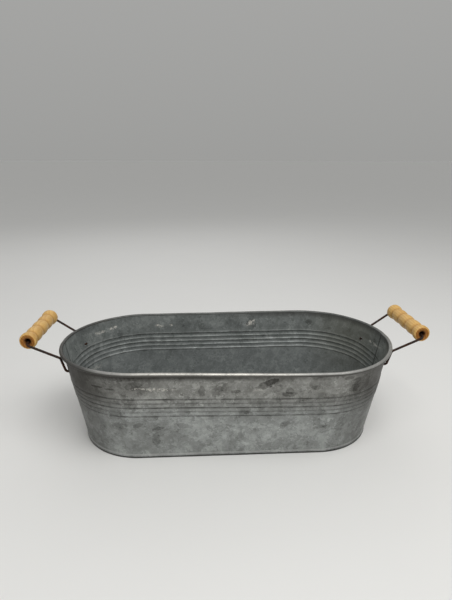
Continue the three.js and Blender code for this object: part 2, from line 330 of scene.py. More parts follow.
# Small sideways steps that make the edge of a mark ragged
def makeSplinter():
    tree, bench, given, out = newGroup("splinterEdge", [placeInput], [("Jag", vectorSocket)])
    chips = bench.sway(bench.cells(given["Position"], splinter["chipScale"], splinter["chipSeed"]))
    waves = bench.sway(bench.noise(given["Position"], *splinter["waves"], "Color"))
    bench.feed(out["Jag"], bench.nudge(chips, waves, splinter["waveShare"]))
    return tree


# One mark at a place on the sheet
def makePatch():
    inputs = [placeInput, ("Jag", vectorSocket, None), ("Centre", vectorSocket, None),
              ("Reach", vectorSocket, None), ("Tilt", floatSocket, 0.0), ("Ragged", floatSocket, 0.5),
              ("Soft", floatSocket, 0.3)]
    tree, bench, given, out = newGroup("raggedPatch", inputs, [("Mask", floatSocket)])
    offset = bench.vector("SUBTRACT", given["Position"], given["Centre"])
    turning = {"Vector": offset, "Angle": given["Tilt"]}
    turned = bench.add("ShaderNodeVectorRotate", {"rotation_type": "Y_AXIS"}, turning).outputs["Vector"]
    share = bench.nudge(bench.vector("DIVIDE", turned, given["Reach"]), given["Jag"], given["Ragged"])
    outer = bench.math("ADD", 1.0, given["Soft"])
    inner = bench.math("SUBTRACT", 1.0, given["Soft"])
    bench.feed(out["Mask"], bench.between(bench.vector("LENGTH", share), outer, inner))
    return tree


# Where a point is on the wall: how far round an end, from front to back, how high, and in the rib band
def makeWallPlace():
    outputs = [(name, floatSocket) for name in ("Round", "Facing", "Level", "Rib")]
    tree, bench, given, out = newGroup("wallPlace", [placeInput], outputs)
    x, y, z = bench.parts(given["Position"])
    past = bench.math("MAXIMUM", bench.math("SUBTRACT", bench.math("ABSOLUTE", x), endAxis * mm), 0.0)
    reach = bench.math("SQRT", bench.math("MULTIPLY_ADD", past, past, bench.math("MULTIPLY", y, y)))
    facing = bench.math("DIVIDE", y, reach)
    turned = bench.between(bench.math("ABSOLUTE", facing), 0.0, tub["ribTurn"], 0.0, tub["ribDrop"] * mm)
    rise = bench.math("MULTIPLY", turned, bench.math("SIGN", facing))
    along = bench.math("DIVIDE", x, wear["leanReach"] * mm)
    sagging = bench.math("MULTIPLY_ADD", bench.math("MULTIPLY", along, along), -1.0, 1.0)
    sagging = bench.math("MAXIMUM", sagging, 0.0)
    sagging = bench.math("MULTIPLY", sagging, bench.math("LESS_THAN", y, 0.0))
    stretch = bench.math("MULTIPLY_ADD", sagging, wear["frontSag"] / tub["height"], 1.0)
    level = bench.math("MULTIPLY", z, stretch)
    aboveRibs = bench.math("SUBTRACT", bench.math("SUBTRACT", level, rise), ribBottom * mm)
    bench.feed(out["Round"], bench.math("DIVIDE", past, reach))
    bench.feed(out["Facing"], facing)
    bench.feed(out["Level"], level)
    bench.feed(out["Rib"], bench.math("DIVIDE", aboveRibs, tub["ribPitch"] * mm))
    return tree


paintedGrooveShadeSettings = {
    "wander": (55.0, 4.0, 0.65),
    "wanderFade": (0.36, 0.6, 0.4, 1.0),
    "shallowLoss": -0.45,  # change of strength in every second groove
    "bandEnd": 0.4,  # ribs past the band's edge at which the painted shade ends, and from which it fades
    "bandFade": 0.2,
}


# Painted shade that darkens the grooves of the rib band
def makePaintedGrooveShade():
    inputs = [placeInput, ("Rib", floatSocket, 0.0), ("Spread", floatSocket, 0.2)]
    tree, bench, given, out = newGroup("paintedGrooveShadeGroup", inputs, [("Mask", floatSocket)])
    rib = given["Rib"]
    halfBand = tub["ribCount"] / 2
    wander = bench.between(bench.noise(given["Position"], *paintedGrooveShadeSettings["wander"]), *paintedGrooveShadeSettings["wanderFade"])
    groove = bench.math("ROUND", rib)
    toGroove = bench.math("ABSOLUTE", bench.math("SUBTRACT", rib, groove))
    near = bench.between(toGroove, given["Spread"], 0.0)
    isSecond = bench.math("PINGPONG", groove, 1.0)
    strength = bench.math("MULTIPLY_ADD", isSecond, paintedGrooveShadeSettings["shallowLoss"], 1.0)
    near = bench.math("MULTIPLY", near, strength)
    fromMiddle = bench.math("ABSOLUTE", bench.math("SUBTRACT", rib, halfBand))
    inBand = bench.between(fromMiddle, halfBand + paintedGrooveShadeSettings["bandEnd"], halfBand + paintedGrooveShadeSettings["bandFade"])
    bench.feed(out["Mask"], bench.math("MULTIPLY", bench.math("MULTIPLY", near, inBand), wander))
    return tree


oxide = {"bloom": (160.0, 5.0, 0.65), "grit": (1600.0, 3.0, 0.6), "start": 0.85, "spread": 0.2}


# Rust and dark oxide that comes and goes along steel
def makeOxide():
    inputs = [placeInput, ("Amount", floatSocket, 0.5)]
    tree, bench, given, out = newGroup("steelOxide", inputs, [("Mask", floatSocket), ("Grit", floatSocket)])
    low = bench.math("SUBTRACT", oxide["start"], given["Amount"])
    high = bench.math("ADD", low, oxide["spread"])
    bench.feed(out["Mask"], bench.between(bench.noise(given["Position"], *oxide["bloom"]), low, high))
    bench.feed(out["Grit"], bench.noise(given["Position"], *oxide["grit"]))
    return tree


timber = {
    "bend": (26.0, 2.0, 0.5),
    "bendStep": 0.006,
    "heart": (0.021, 0.0, 0.009),  # the middle of the rings lies beside the grip
    "ringStretch": (1.0, 0.06, 1.0),
    "fibre": (1500.0, 4.0, 0.6),
    "fibreStretch": (1.0, 0.035, 1.0),
}


# Growth rings and long fibres
def makeWoodGrain():
    inputs = [placeInput, ("Rings", floatSocket, 300.0)]
    tree, bench, given, out = newGroup("woodGrain", inputs, [("Ring", floatSocket), ("Fibre", floatSocket)])
    position = given["Position"]
    bend = bench.sway(bench.noise(position, *timber["bend"], "Color"))
    placed = bench.nudge(bench.vector("ADD", position, timber["heart"]), bend, timber["bendStep"])
    flat = bench.vector("MULTIPLY", placed, timber["ringStretch"])
    turns = bench.math("MULTIPLY", bench.vector("LENGTH", flat), given["Rings"])
    long = bench.vector("MULTIPLY", position, timber["fibreStretch"])
    bench.feed(out["Ring"], bench.math("FRACT", turns))
    bench.feed(out["Fibre"], bench.noise(long, *timber["fibre"]))
    return tree


zincSpangle = makeSpangle()
splinterEdge = makeSplinter()
raggedPatch = makePatch()
wallPlace = makeWallPlace()
paintedGrooveShadeGroup = makePaintedGrooveShade()
steelOxide = makeOxide()
woodGrain = makeWoodGrain()
print("node groups made")

# What both zinc finishes share
zinc = {
    "paintedLightPatchEdge": (0.12, 0.75),  # how ragged and how soft the edge of a mark is
    "markEdge": (0.32, 0.12),
    "residueEdge": (1.0, 0.35),
    "markDepth": 22.0,  # a mark reaches this far along y in mm, so that it stays on its own side
    "upperPart": (0.058, 0.094),  # heights between which the lower look changes to the upper one
    "upperContrast": 1.2,
    "paintedShadingHeights": (0.03, 0.10, 0.38, 1.0),
    "paintedShadingMiddle": (0.93, 1.0, 1.0, 0.45),  # the painted shading gives way towards the middle of an end
    "paintedShadingFull": 0.75,
    "paintedShadingSide": 0.02,
    "paintedGrooveShadeColour": (0.05, 0.049, 0.045, 1.0),
    "underRimSides": (-0.04, 0.09),
    "underRimColour": (0.04, 0.037, 0.032, 1.0),
    "seamLine": 4.7,  # the lock seam's inner edge lies this far in mm from the middle of an end
    "seamWidth": (0.0018, 0.0006),
    "seamEnd": (0.17, 0.175),
    "seamStrength": 0.6,
    "seamColour": (0.045, 0.045, 0.042, 1.0),
    # Painted highlight on the step above the foot
    "paintedFootHighlightLow": (0.0034, 0.0044),
    "paintedFootHighlightHigh": (0.0062, 0.0050),
    "paintedFootHighlightStrength": 0.4,
    "paintedFootHighlightColour": (0.55, 0.55, 0.54, 1.0),
    # Painted contact shadow along the bottom edge
    "paintedContactShadowHeights": (0.0028, 0.0016),
    "paintedContactShadowStrength": 0.88,
    "paintedContactShadowColour": (0.025, 0.025, 0.023, 1.0),
    "crumbs": (420.0, 3.0, 0.7),
    "crumbFade": (0.40, 0.56),
    "residueColour": (0.62, 0.60, 0.55, 1.0),
    "residueRough": 0.3,
    "residueMetallic": -0.55,
    "metallic": 0.6,
    "roughTones": (0.2, 0.8),
    "bump": (0.12, 0.0005),
}
# A mark: place (x, y, z) and half sizes along x and z in mm, tilt, and how much lighter or darker it is
# An end's painted shading: how strong it is, and how far round the end it starts
zincOutside = {
    "name": "zincOutside",
    "stops": [(0.10, (0.075, 0.074, 0.069)), (0.38, (0.200, 0.201, 0.193)),
              (0.62, (0.315, 0.319, 0.309)), (0.90, (0.51, 0.516, 0.504))],
    "flakes": 75.0,
    "cloudy": 0.5,
    "seed": 2.0,
    "roughness": (0.62, 0.46),
    # Painted shade darkens the grooves
    "paintedGrooveShade": 0.85,
    "paintedGrooveShadeSpread": 0.28,
    # Painted shade darkens both ends of the outside, the left one more, towards the shade colour below
    "leftPaintedShading": (0.94, 0.08),
    "rightPaintedShading": (0.90, 0.0),
    # Painted shadow: a dark band under the rolled rim, strongest towards the left
    "underRim": {"low": 0.1085, "high": 0.1155, "left": 0.88, "right": 0.30},
    "paintedShadingColour": (0.030, 0.027, 0.022, 1.0),
    # Painted light by height: tints for the upper and the lower part
    "paintedUpperTint": (0.93, 0.925, 0.905, 1.0),
    "paintedLowerTint": (0.98, 1.01, 1.015, 1.0),
    "marks": [
        ((38.0, -97.0, 105.0), 13.0, 4.9, 31.0, -0.24), ((43.0, -97.0, 107.6), 8.0, 4.6, 10.0, -0.14),
        ((64.0, -95.0, 91.0), 9.0, 3.4, 0.0, -0.22), ((65.0, -95.5, 95.5), 4.6, 4.6, 20.0, -0.2),
        ((149.0, -88.0, 100.0), 12.0, 12.0, 0.0, -0.20), ((139.0, -92.0, 95.4), 6.0, 6.5, 35.0, -0.18),
        ((131.0, -94.5, 110.5), 6.0, 2.2, 0.0, -0.2), ((95.0, -97.7, 100.0), 6.2, 3.0, 0.0, -0.14),
        ((117.0, -96.7, 94.2), 14.0, 4.2, 0.0, 0.10), ((-109.5, -90.3, 102.5), 9.8, 5.4, 0.0, -0.16),
        ((-152.0, -80.0, 98.4), 8.0, 1.2, 0.0, -0.3), ((-136.0, -84.0, 97.2), 7.0, 1.0, 0.0, -0.22),
        ((-33.7, -92.2, 95.0), 3.6, 7.5, 8.0, -0.18), ((4.4, -93.3, 95.1), 5.6, 2.4, 10.0, -0.2),
        ((-128.6, -81.0, 47.5), 9.0, 4.0, 0.0, -0.14), ((-108.0, -83.2, 48.6), 5.5, 3.4, 20.0, -0.17),
        ((-84.7, -82.7, 43.5), 7.0, 2.8, 12.0, -0.2), ((-56.8, -83.6, 47.2), 8.2, 3.6, -14.0, -0.18),
        ((-91.4, -84.5, 57.5), 7.0, 3.4, 0.0, -0.15), ((-88.0, -80.4, 26.4), 5.0, 11.0, 0.0, -0.13),
        ((63.4, -86.3, 47.2), 6.0, 4.2, 20.0, -0.15), ((104.0, -85.4, 40.8), 8.6, 2.2, 8.0, -0.16),
        ((128.6, -83.0, 39.0), 5.4, 14.0, 0.0, -0.11),
    ],
    # Broad painted light and shade: patches made lighter or darker where light falls on the wall
    "paintedLightPatches": [
        ((30.0, -84.0, 34.0), 95.0, 30.0, 0.0, 0.10), ((-112.0, -82.0, 40.0), 50.0, 22.0, 0.0, -0.03),
        ((75.0, -95.0, 103.0), 75.0, 16.0, 0.0, 0.06), ((-118.0, -90.0, 104.0), 42.0, 18.0, 0.0, -0.10),
    ],
    "residue": [((-88.2, -90.0, 98.4), 18.0, 1.8, -2.0, 0.9), ((30.0, -95.5, 97.0), 6.0, 1.6, 0.0, 0.3)],
}
zincInside = {
    "name": "zincInside",
    "stops": [(0.10, (0.072, 0.078, 0.077)), (0.38, (0.175, 0.187, 0.185)),
              (0.62, (0.270, 0.286, 0.283)), (0.90, (0.44, 0.458, 0.453))],
    "flakes": 85.0,
    "cloudy": 0.4,
    "seed": 7.0,
    "roughness": (0.62, 0.48),
    # Painted shade darkens the grooves
    "paintedGrooveShade": 0.9,
    "paintedGrooveShadeSpread": 0.22,
    # Painted light: the inside's right end is blended towards an even warm grey
    "leftPaintedShading": (0.0, 0.0),
    "rightPaintedShading": (0.45, 0.0),
    # Painted shadow: a dark band under the rim, strongest towards the right
    "underRim": {"low": 0.111, "high": 0.1185, "left": 0.05, "right": 0.55},
    "paintedShadingColour": (0.245, 0.245, 0.20, 1.0),
    # Painted light by height: tints for the upper and the lower part
    "paintedUpperTint": (0.97, 0.985, 0.975, 1.0),
    "paintedLowerTint": (1.0, 1.01, 1.015, 1.0),
    "marks": [
        ((129.6, 94.0, 105.5), 4.6, 4.5, 0.0, -0.2), ((157.3, 81.6, 100.0), 3.5, 2.0, 0.0, -0.18),
        ((179.4, 62.6, 100.9), 6.0, 6.0, 0.0, -0.18), ((195.0, 38.7, 105.5), 6.0, 4.0, 0.0, -0.15),
        ((-152.0, 80.0, 95.0), 3.0, 9.0, 10.0, -0.12), ((-20.0, 95.0, 104.0), 22.0, 5.0, 0.0, 0.05),
    ],
    # Broad painted light and shade: patches made lighter or darker where light falls on the wall
    "paintedLightPatches": [
        ((-150.0, 70.0, 95.0), 60.0, 40.0, 0.0, 0.05), ((0.0, 85.0, 45.0), 130.0, 25.0, 0.0, 0.03),
        ((-200.0, 0.0, 90.0), 30.0, 40.0, 0.0, 0.14), ((-190.0, 40.0, 80.0), 22.0, 40.0, 0.0, 0.08),
    ],
    "residue": [
        ((41.4, 95.5, 106.5), 5.5, 2.2, 25.0, 1.0), ((39.0, 95.5, 103.0), 7.0, 2.4, 0.0, 0.7),
        ((-97.1, 92.6, 104.0), 4.6, 1.8, 0.0, 1.0), ((-78.6, 92.8, 105.0), 3.8, 1.6, 0.0, 0.9),
        ((-159.7, 78.4, 108.0), 7.0, 1.8, 0.0, 0.9), ((-177.0, 64.6, 106.0), 6.0, 2.2, 0.0, 0.8),
        ((-182.4, 45.3, 61.0), 6.0, 3.0, 0.0, 0.45), ((201.5, 12.8, 102.0), 3.0, 1.6, 0.0, 0.8),
    ],
}


def placeMarks(bench, position, jag, marks, ragged, soft):
    masks = []
    for place, halfWidth, halfHeight, tilt, amount in marks:
        inputs = {"Position": position, "Jag": jag, "Centre": Vector(place) * mm,
                  "Reach": Vector((halfWidth, zinc["markDepth"], halfHeight)) * mm,
                  "Tilt": math.radians(tilt), "Ragged": ragged, "Soft": soft}
        masks.append((bench.use(raggedPatch, inputs)["Mask"], amount))
    return masks


def addBloom(bench, position, finish):
    inputs = {"Position": position, "Flakes": finish["flakes"], "Seed": finish["seed"],
              "Cloudy": finish["cloudy"]}
    return bench.use(zincSpangle, inputs)


def makeZinc(finish):
    material, bench, shader = newMaterial(finish["name"])
    position = bench.position()
    x, y, height = bench.parts(position)
    fromMiddle = bench.math("ABSOLUTE", x)
    place = bench.use(wallPlace, {"Position": position})
    jag = bench.use(splinterEdge, {"Position": position})["Jag"]
    bloom = addBloom(bench, position, finish)
    tone = bloom["Tone"]
    # Broad patches of painted light and shade, then stain marks, change the tone
    for kind, edge in (("paintedLightPatches", zinc["paintedLightPatchEdge"]), ("marks", zinc["markEdge"])):
        tone = bench.pile(tone, placeMarks(bench, position, jag, finish[kind], *edge))
    contrast = bench.between(height, *zinc["upperPart"], 1.0, zinc["upperContrast"])
    tone = bench.math("MULTIPLY_ADD", bench.math("SUBTRACT", tone, 0.5), contrast, 0.5)
    colour = bench.ramp(tone, finish["stops"])
    # Painted light by height: the upper part darker and warmer, the lower part cooler, standing in for the
    # floor's reflection
    paintedHeightTint = bench.blend(bench.between(height, *zinc["upperPart"]), finish["paintedLowerTint"], finish["paintedUpperTint"])
    colour = bench.blend(1.0, colour, paintedHeightTint, "MULTIPLY")
    # Painted shading at the two ends, painted shade in the grooves, and a painted shadow under the rim
    high = bench.between(height, *zinc["paintedShadingHeights"])
    high = bench.math("MULTIPLY", high, bench.between(place["Round"], *zinc["paintedShadingMiddle"]))
    for side, (strength, start) in ((-1, finish["leftPaintedShading"]), (1, finish["rightPaintedShading"])):
        onEnd = bench.between(x, 0.0, side * zinc["paintedShadingSide"], 0.0, strength)
        paintedEndShading = bench.between(place["Round"], start, zinc["paintedShadingFull"])
        colour = bench.stain(colour, paintedEndShading, bench.math("MULTIPLY", onEnd, high), finish["paintedShadingColour"])
    inputs = {"Position": position, "Rib": place["Rib"], "Spread": finish["paintedGrooveShadeSpread"]}
    paintedGrooveShade = bench.use(paintedGrooveShadeGroup, inputs)["Mask"]
    colour = bench.stain(colour, paintedGrooveShade, finish["paintedGrooveShade"], zinc["paintedGrooveShadeColour"])
    band = finish["underRim"]
    strength = bench.between(x, *zinc["underRimSides"], band["left"], band["right"])
    underRim = bench.between(place["Level"], band["low"], band["high"])
    colour = bench.stain(colour, underRim, strength, zinc["underRimColour"])
    # A dark line along the lock seam, a painted highlight on the step above the foot, and a painted contact
    # shadow along its bottom edge
    seamPlace = bench.math("MULTIPLY", bench.math("SIGN", x), zinc["seamLine"] * mm)
    toSeam = bench.math("ABSOLUTE", bench.math("SUBTRACT", y, seamPlace))
    seam = bench.between(toSeam, *zinc["seamWidth"])
    seam = bench.math("MULTIPLY", seam, bench.between(fromMiddle, *zinc["seamEnd"]))
    colour = bench.stain(colour, seam, zinc["seamStrength"], zinc["seamColour"])
    foot = bench.between(height, *zinc["paintedFootHighlightLow"])
    foot = bench.math("MULTIPLY", foot, bench.between(height, *zinc["paintedFootHighlightHigh"]))
    colour = bench.stain(colour, foot, zinc["paintedFootHighlightStrength"], zinc["paintedFootHighlightColour"])
    lip = bench.between(height, *zinc["paintedContactShadowHeights"])
    colour = bench.stain(colour, lip, zinc["paintedContactShadowStrength"], zinc["paintedContactShadowColour"])
    # Pale dry residue in crumbs
    residue = bench.pile(0.0, placeMarks(bench, position, jag, finish["residue"], *zinc["residueEdge"]))
    crumbs = bench.between(bench.noise(position, *zinc["crumbs"]), *zinc["crumbFade"])
    residue = bench.math("MINIMUM", bench.math("MULTIPLY", residue, crumbs), 1.0)
    colour = bench.blend(residue, colour, zinc["residueColour"])
    bench.feed(shader.inputs["Base Color"], colour)
    rough = bench.between(tone, *zinc["roughTones"], *finish["roughness"], "LINEAR")
    bench.feed(shader.inputs["Roughness"], bench.pile(rough, [(residue, zinc["residueRough"])]))
    metallic = bench.pile(zinc["metallic"], [(residue, zinc["residueMetallic"])])
    bench.feed(shader.inputs["Metallic"], metallic)
    addBump(bench, shader, bench.math("ADD", bloom["Grain"], tone), *zinc["bump"])
    return material


beadOutside = {
    "name": "zincBead",
    "flakes": 90.0,
    "seed": 11.0,
    "cloudy": 0.6,
    # Painted shade: the back of the rim darker than the front, and the left end darker still
    "front": (0.37, 0.37, 0.355, 1.0),
    "back": (0.30, 0.30, 0.29, 1.0),
    "frontToBack": (-0.7, 0.6),
    "paintedLeftEndShade": (0.11, 0.11, 0.105, 1.0),
    "leftFade": (-0.13, -0.18),
    # Painted highlight along the front middle, where the rim is also smoother
    "paintedFrontHighlight": (0.53, 0.515, 0.48, 1.0),
    "paintedHighlightMiddle": -0.025,
    "paintedHighlightReach": (0.125, 0.05),
    "paintedHighlightFront": (0.0, -0.05),
    "paintedHighlightTones": (0.3, 0.6, 0.5, 1.0),
    "tones": (0.2, 0.8, 0.65, 1.25),
    # Painted shade on the underside of the rim
    "under": (0.045, 0.042, 0.037, 1.0),
    "underHeights": (0.1208, 0.1197),
    "underStrength": 0.85,
    "roughness": (0.55, 0.42),
    "metallic": 0.7,
    "bump": (0.1, 0.0004),
}
# The rim's inner face: the same finish with a much darker back, as painted shade
beadInsidePaintedShade = {**beadOutside, "name": "zincBeadInsidePaintedShade", "back": (0.125, 0.13, 0.125, 1.0)}


# The rolled rim: painted shade at the back and the left end, a painted highlight along the front middle
# where it is also smoother, and painted shade underneath
def makeBead(finish):
    material, bench, shader = newMaterial(finish["name"])
    position = bench.position()
    x, y = bench.parts(position)[:2]
    place = bench.use(wallPlace, {"Position": position})
    bloom = addBloom(bench, position, finish)
    # Painted shade towards the back and the left end
    toBack = bench.between(place["Facing"], *finish["frontToBack"])
    base = bench.blend(toBack, finish["front"], finish["back"])
    base = bench.blend(bench.between(x, *finish["leftFade"]), base, finish["paintedLeftEndShade"])
    # A painted highlight along the front middle
    shift = bench.math("ABSOLUTE", bench.math("SUBTRACT", x, finish["paintedHighlightMiddle"]))
    paintedFrontHighlight = bench.between(shift, *finish["paintedHighlightReach"])
    paintedFrontHighlight = bench.math("MULTIPLY", paintedFrontHighlight, bench.between(y, *finish["paintedHighlightFront"]))
    paintedFrontHighlight = bench.math("MULTIPLY", paintedFrontHighlight, bench.between(bloom["Tone"], *finish["paintedHighlightTones"]))
    base = bench.blend(paintedFrontHighlight, base, finish["paintedFrontHighlight"])
    base = bench.tone(base, bench.between(bloom["Tone"], *finish["tones"], "LINEAR"))
    # Painted shade underneath
    under = bench.between(place["Level"], *finish["underHeights"])
    colour = bench.stain(base, under, finish["underStrength"], finish["under"])
    bench.feed(shader.inputs["Base Color"], colour)
    bench.feed(shader.inputs["Roughness"], bench.between(paintedFrontHighlight, 0.0, 1.0, *finish["roughness"]))
    shader.inputs["Metallic"].default_value = finish["metallic"]
    addBump(bench, shader, bloom["Grain"], *finish["bump"])
    return material


rimFinish = {
    "name": "rimSteel",
    "oxide": 0.4,
    "colours": ((0.30, 0.30, 0.29, 1.0), (0.11, 0.075, 0.05, 1.0)),
    "roughBy": "Grit",
    "roughness": (0.2, 0.8, 0.4, 0.65),
    "metallic": 0.85,
    "specular": 0.5,
    "bump": (0.15, 0.0002),
}
bailFinish = {
    "name": "bailWire",
    "oxide": 0.42,
    "colours": ((0.020, 0.012, 0.009, 1.0), (0.058, 0.024, 0.012, 1.0)),
    "roughBy": "Mask",
    "roughness": (0.0, 1.0, 0.45, 0.75),
    "metallic": 0.4,
    "specular": 0.35,
    "bump": (0.2, 0.0002),
}


def makeSteel(finish):
    material, bench, shader = newMaterial(finish["name"])
    rust = bench.use(steelOxide, {"Position": bench.position(), "Amount": finish["oxide"]})
    bench.feed(shader.inputs["Base Color"], bench.blend(rust["Mask"], *finish["colours"]))
    bench.feed(shader.inputs["Roughness"], bench.between(rust[finish["roughBy"]], *finish["roughness"]))
    shader.inputs["Metallic"].default_value = finish["metallic"]
    shader.inputs["Specular IOR Level"].default_value = finish["specular"]
    addBump(bench, shader, rust["Grit"], *finish["bump"])
    return material


grip = {
    "length": 87.0,
    "knobRadius": 10.0,
    "knobLength": 13.0,
    "neckRadius": 7.3,
    "beadRadius": 9.2,
    "grooveRadius": 7.7,
    "boreRadius": 3.6,
    "beads": 3,
    "lips": 5,  # a knob is this many times as long as its lip
    # share of the way from neck to knob, and lips from the end
    "shoulder": [(1.0, 0.45), (1.0, 2.3), (0.62, 3.5), (0.1, 4.5)],
    "bend": 2.2,
    "bendSteps": 7,
    "swell": 0.8,  # below 1 the beads are full and the grooves narrow
    "beadSteps": 14,
    "boreSteps": 8,
    "sides": 72,
    "endDepth": 1.4,  # end grain shows this near to the end
    "endEdge": 1.6,  # and stops this far short of the knob's edge
    "boreSlack": 0.1,
}
gripBeadLength = (grip["length"] - 2 * grip["knobLength"]) / grip["beads"]

gripStainAndPaintedShade = {
    "rings": 300.0,
    "fibreFade": (0.35, 0.65),
    # Painted shade round the bore on the ends
    "paintedBoreShadeFade": (0.0062, 0.0036),
    "paintedBoreShadeColour": (0.10, 0.035, 0.012, 1.0),
    # Painted shade in the turned grooves
    "paintedGripGrooveShadeFade": (0.16, 0.0),
    "paintedGripGrooveShadeColour": (0.40, 0.18, 0.035, 1.0),
    "beadsEnd": 0.3,  # beads past the last one at which the painted shade ends, and from which it fades
    "beadsFade": 0.15,
    "handled": (70.0, 3.0, 0.6),
    "handledFade": (0.45, 0.75, 0.0, 0.35),
    "handledColour": (0.48, 0.24, 0.055, 1.0),
    "roughFibre": (0.3, 0.7),
    "roughSpread": 0.1,
    "bump": (0.06, 0.0003),
}
gripSides = {
    "name": "gripWood",
    "stops": [(0.0, (0.74, 0.475, 0.162)), (0.5, (0.69, 0.425, 0.138)), (0.85, (0.61, 0.355, 0.105)),
              (1.0, (0.72, 0.455, 0.154))],
    "fibre": 0.12,
    "roughness": 0.40,
    "specular": 0.4,
    # Strengths of the painted shade round the bore and in the turned grooves
    "edge": 0.0,
    "groove": 0.6,
}
gripEnds = {
    "name": "gripEndGrain",
    "stops": [(0.0, (0.46, 0.20, 0.042)), (0.6, (0.38, 0.15, 0.028)), (0.9, (0.26, 0.09, 0.015)),
              (1.0, (0.44, 0.185, 0.038))],
    "fibre": 0.25,
    "roughness": 0.6,
    "specular": 0.2,
    # Strength of the painted shade round the bore
    "edge": 0.8,
    "groove": 0.0,
}


# Painted shade in the turned grooves, and painted shade on the ends round the bore
def makeGripWood(finish):
    material, bench, shader = newMaterial(finish["name"])
    position = bench.position()
    grain = bench.use(woodGrain, {"Position": position, "Rings": gripStainAndPaintedShade["rings"]})
    fibre = bench.between(grain["Fibre"], *gripStainAndPaintedShade["fibreFade"], 1.0 - finish["fibre"], 1.0)
    colour = bench.tone(bench.ramp(grain["Ring"], finish["stops"]), fibre)
    fromAxis = bench.vector("LENGTH", bench.vector("MULTIPLY", position, (1.0, 0.0, 1.0)))
    # Painted shade round the bore
    paintedBoreShade = bench.between(fromAxis, *gripStainAndPaintedShade["paintedBoreShadeFade"])
    colour = bench.stain(colour, paintedBoreShade, finish["edge"], gripStainAndPaintedShade["paintedBoreShadeColour"])
    # Painted shade in the turned grooves
    along = bench.math("DIVIDE", bench.parts(position)[1], gripBeadLength * mm)
    fromGroove = bench.math("ABSOLUTE", bench.math("SUBTRACT", bench.math("FRACT", along), 0.5))
    halfBeads = grip["beads"] / 2
    inBeads = bench.between(bench.math("ABSOLUTE", along), halfBeads + gripStainAndPaintedShade["beadsEnd"],
                            halfBeads + gripStainAndPaintedShade["beadsFade"])
    paintedGripGrooveShade = bench.math("MULTIPLY", bench.between(fromGroove, *gripStainAndPaintedShade["paintedGripGrooveShadeFade"]), inBeads)
    colour = bench.stain(colour, paintedGripGrooveShade, finish["groove"], gripStainAndPaintedShade["paintedGripGrooveShadeColour"])
    handled = bench.between(bench.noise(position, *gripStainAndPaintedShade["handled"]), *gripStainAndPaintedShade["handledFade"])
    bench.feed(shader.inputs["Base Color"], bench.blend(handled, colour, gripStainAndPaintedShade["handledColour"]))
    shader.inputs["Specular IOR Level"].default_value = finish["specular"]
    low = finish["roughness"]
    rough = bench.between(grain["Fibre"], *gripStainAndPaintedShade["roughFibre"], low + gripStainAndPaintedShade["roughSpread"], low)
    bench.feed(shader.inputs["Roughness"], rough)
    addBump(bench, shader, grain["Fibre"], *gripStainAndPaintedShade["bump"])
    return material


galvanizedOutside = makeZinc(zincOutside)
galvanizedInside = makeZinc(zincInside)
galvanizedBead = makeBead(beadOutside)
galvanizedBeadInsidePaintedShade = makeBead(beadInsidePaintedShade)
rimSteel = makeSteel(rimFinish)
bailWire = makeSteel(bailFinish)
gripWood = makeGripWood(gripSides)
gripEndGrain = makeGripWood(gripEnds)
print("materials made")


# Mesh helpers
def addToScene(name, data):
    placed = bpy.data.objects.new(name, data)
    bpy.context.scene.collection.objects.link(placed)
    return placed


def newPiece(bm, name, materials):
    bmesh.ops.recalc_face_normals(bm, faces=bm.faces)
    mesh = bpy.data.meshes.new(name)
    bm.to_mesh(mesh)
    bm.free()
    for material in materials:
        mesh.materials.append(material)
    return addToScene(name, mesh)


def skinRings(bm, rings):
    for first, second in zip(rings, rings[1:]):
        for k in range(len(first)):
            n = (k + 1) % len(first)
            bm.faces.new((first[k], first[n], second[n], second[k]))


def smoothFaces(piece, sharpAngle):
    piece.data.polygons.foreach_set("use_smooth", [True] * len(piece.data.polygons))
    piece.data.set_sharp_from_angle(angle=math.radians(sharpAngle))


# A line of points, as radius and height, with its corners rounded
def roundLine(points, radius, steps):
    line = [points[0]]
    for before, corner, after in zip(points, points[1:], points[2:]):
        back = (before - corner).normalized()
        on = (after - corner).normalized()
        half = back.angle(on) / 2
        reach = min(radius / math.tan(half), (before - corner).length / 2, (after - corner).length / 2)
        start = corner + back * reach
        end = corner + on * reach
        for share in evenSteps(0.0, 1.0, steps):
            line.append(start * (1 - share) ** 2 + corner * 2 * share * (1 - share) + end * share ** 2)
    line.append(points[-1])
    return line


# Rows and columns of points on the wall, and the square among them that a round hole is set in
wallGrid = {
    "footBend": 0.5,
    "footSteps": 5,
    "plainFrom": 12.0,
    "belowRibs": 11,
    "ribRow": 0.5,  # height of a row in the rib band
    "belowHole": 1,
    "aboveHole": 4,
    "curl": 30,
    "innerCurl": 10,  # rows of the curl that face into the tub
    "beforeHole": 8,
    "afterHole": 24,
    "side": 36,
    "ribStart": (math.radians(5.0), math.radians(10.0)),  # the ribs come in between these angles
    "plainBand": (20.0, 60.0),
    "sharpAngle": 40,
}
holePatch = {"half": 4.2, "steps": 6, "rings": 3}
holeAngle = math.asin(tub["holeSpread"] / wallRadius(tub["holeHeight"]))
patchAngle = holePatch["half"] / wallRadius(tub["holeHeight"])
holePlace = (endAxis + wallRadius(tub["holeHeight"]) * math.cos(holeAngle), tub["holeSpread"],
             tub["holeHeight"])


def ribStep(height, facing):
    rise = math.copysign(tub["ribDrop"] * smoothStep(0.0, tub["ribTurn"], abs(facing)), facing)
    phase = (height - rise - ribBottom) / tub["ribPitch"]
    groove = min(tub["ribCount"], max(0, round(phase)))
    toGroove = abs(phase - groove) * tub["ribPitch"]
    depth = tub["grooveDepth"] * (tub["shallowGroove"] if groove % 2 else 1.0)
    crown = tub["ribCrown"] * abs(math.sin(math.pi * phase)) if 0 < phase < tub["ribCount"] else 0.0
    return crown - depth * math.exp(-(toGroove / tub["grooveWidth"]) ** 2)


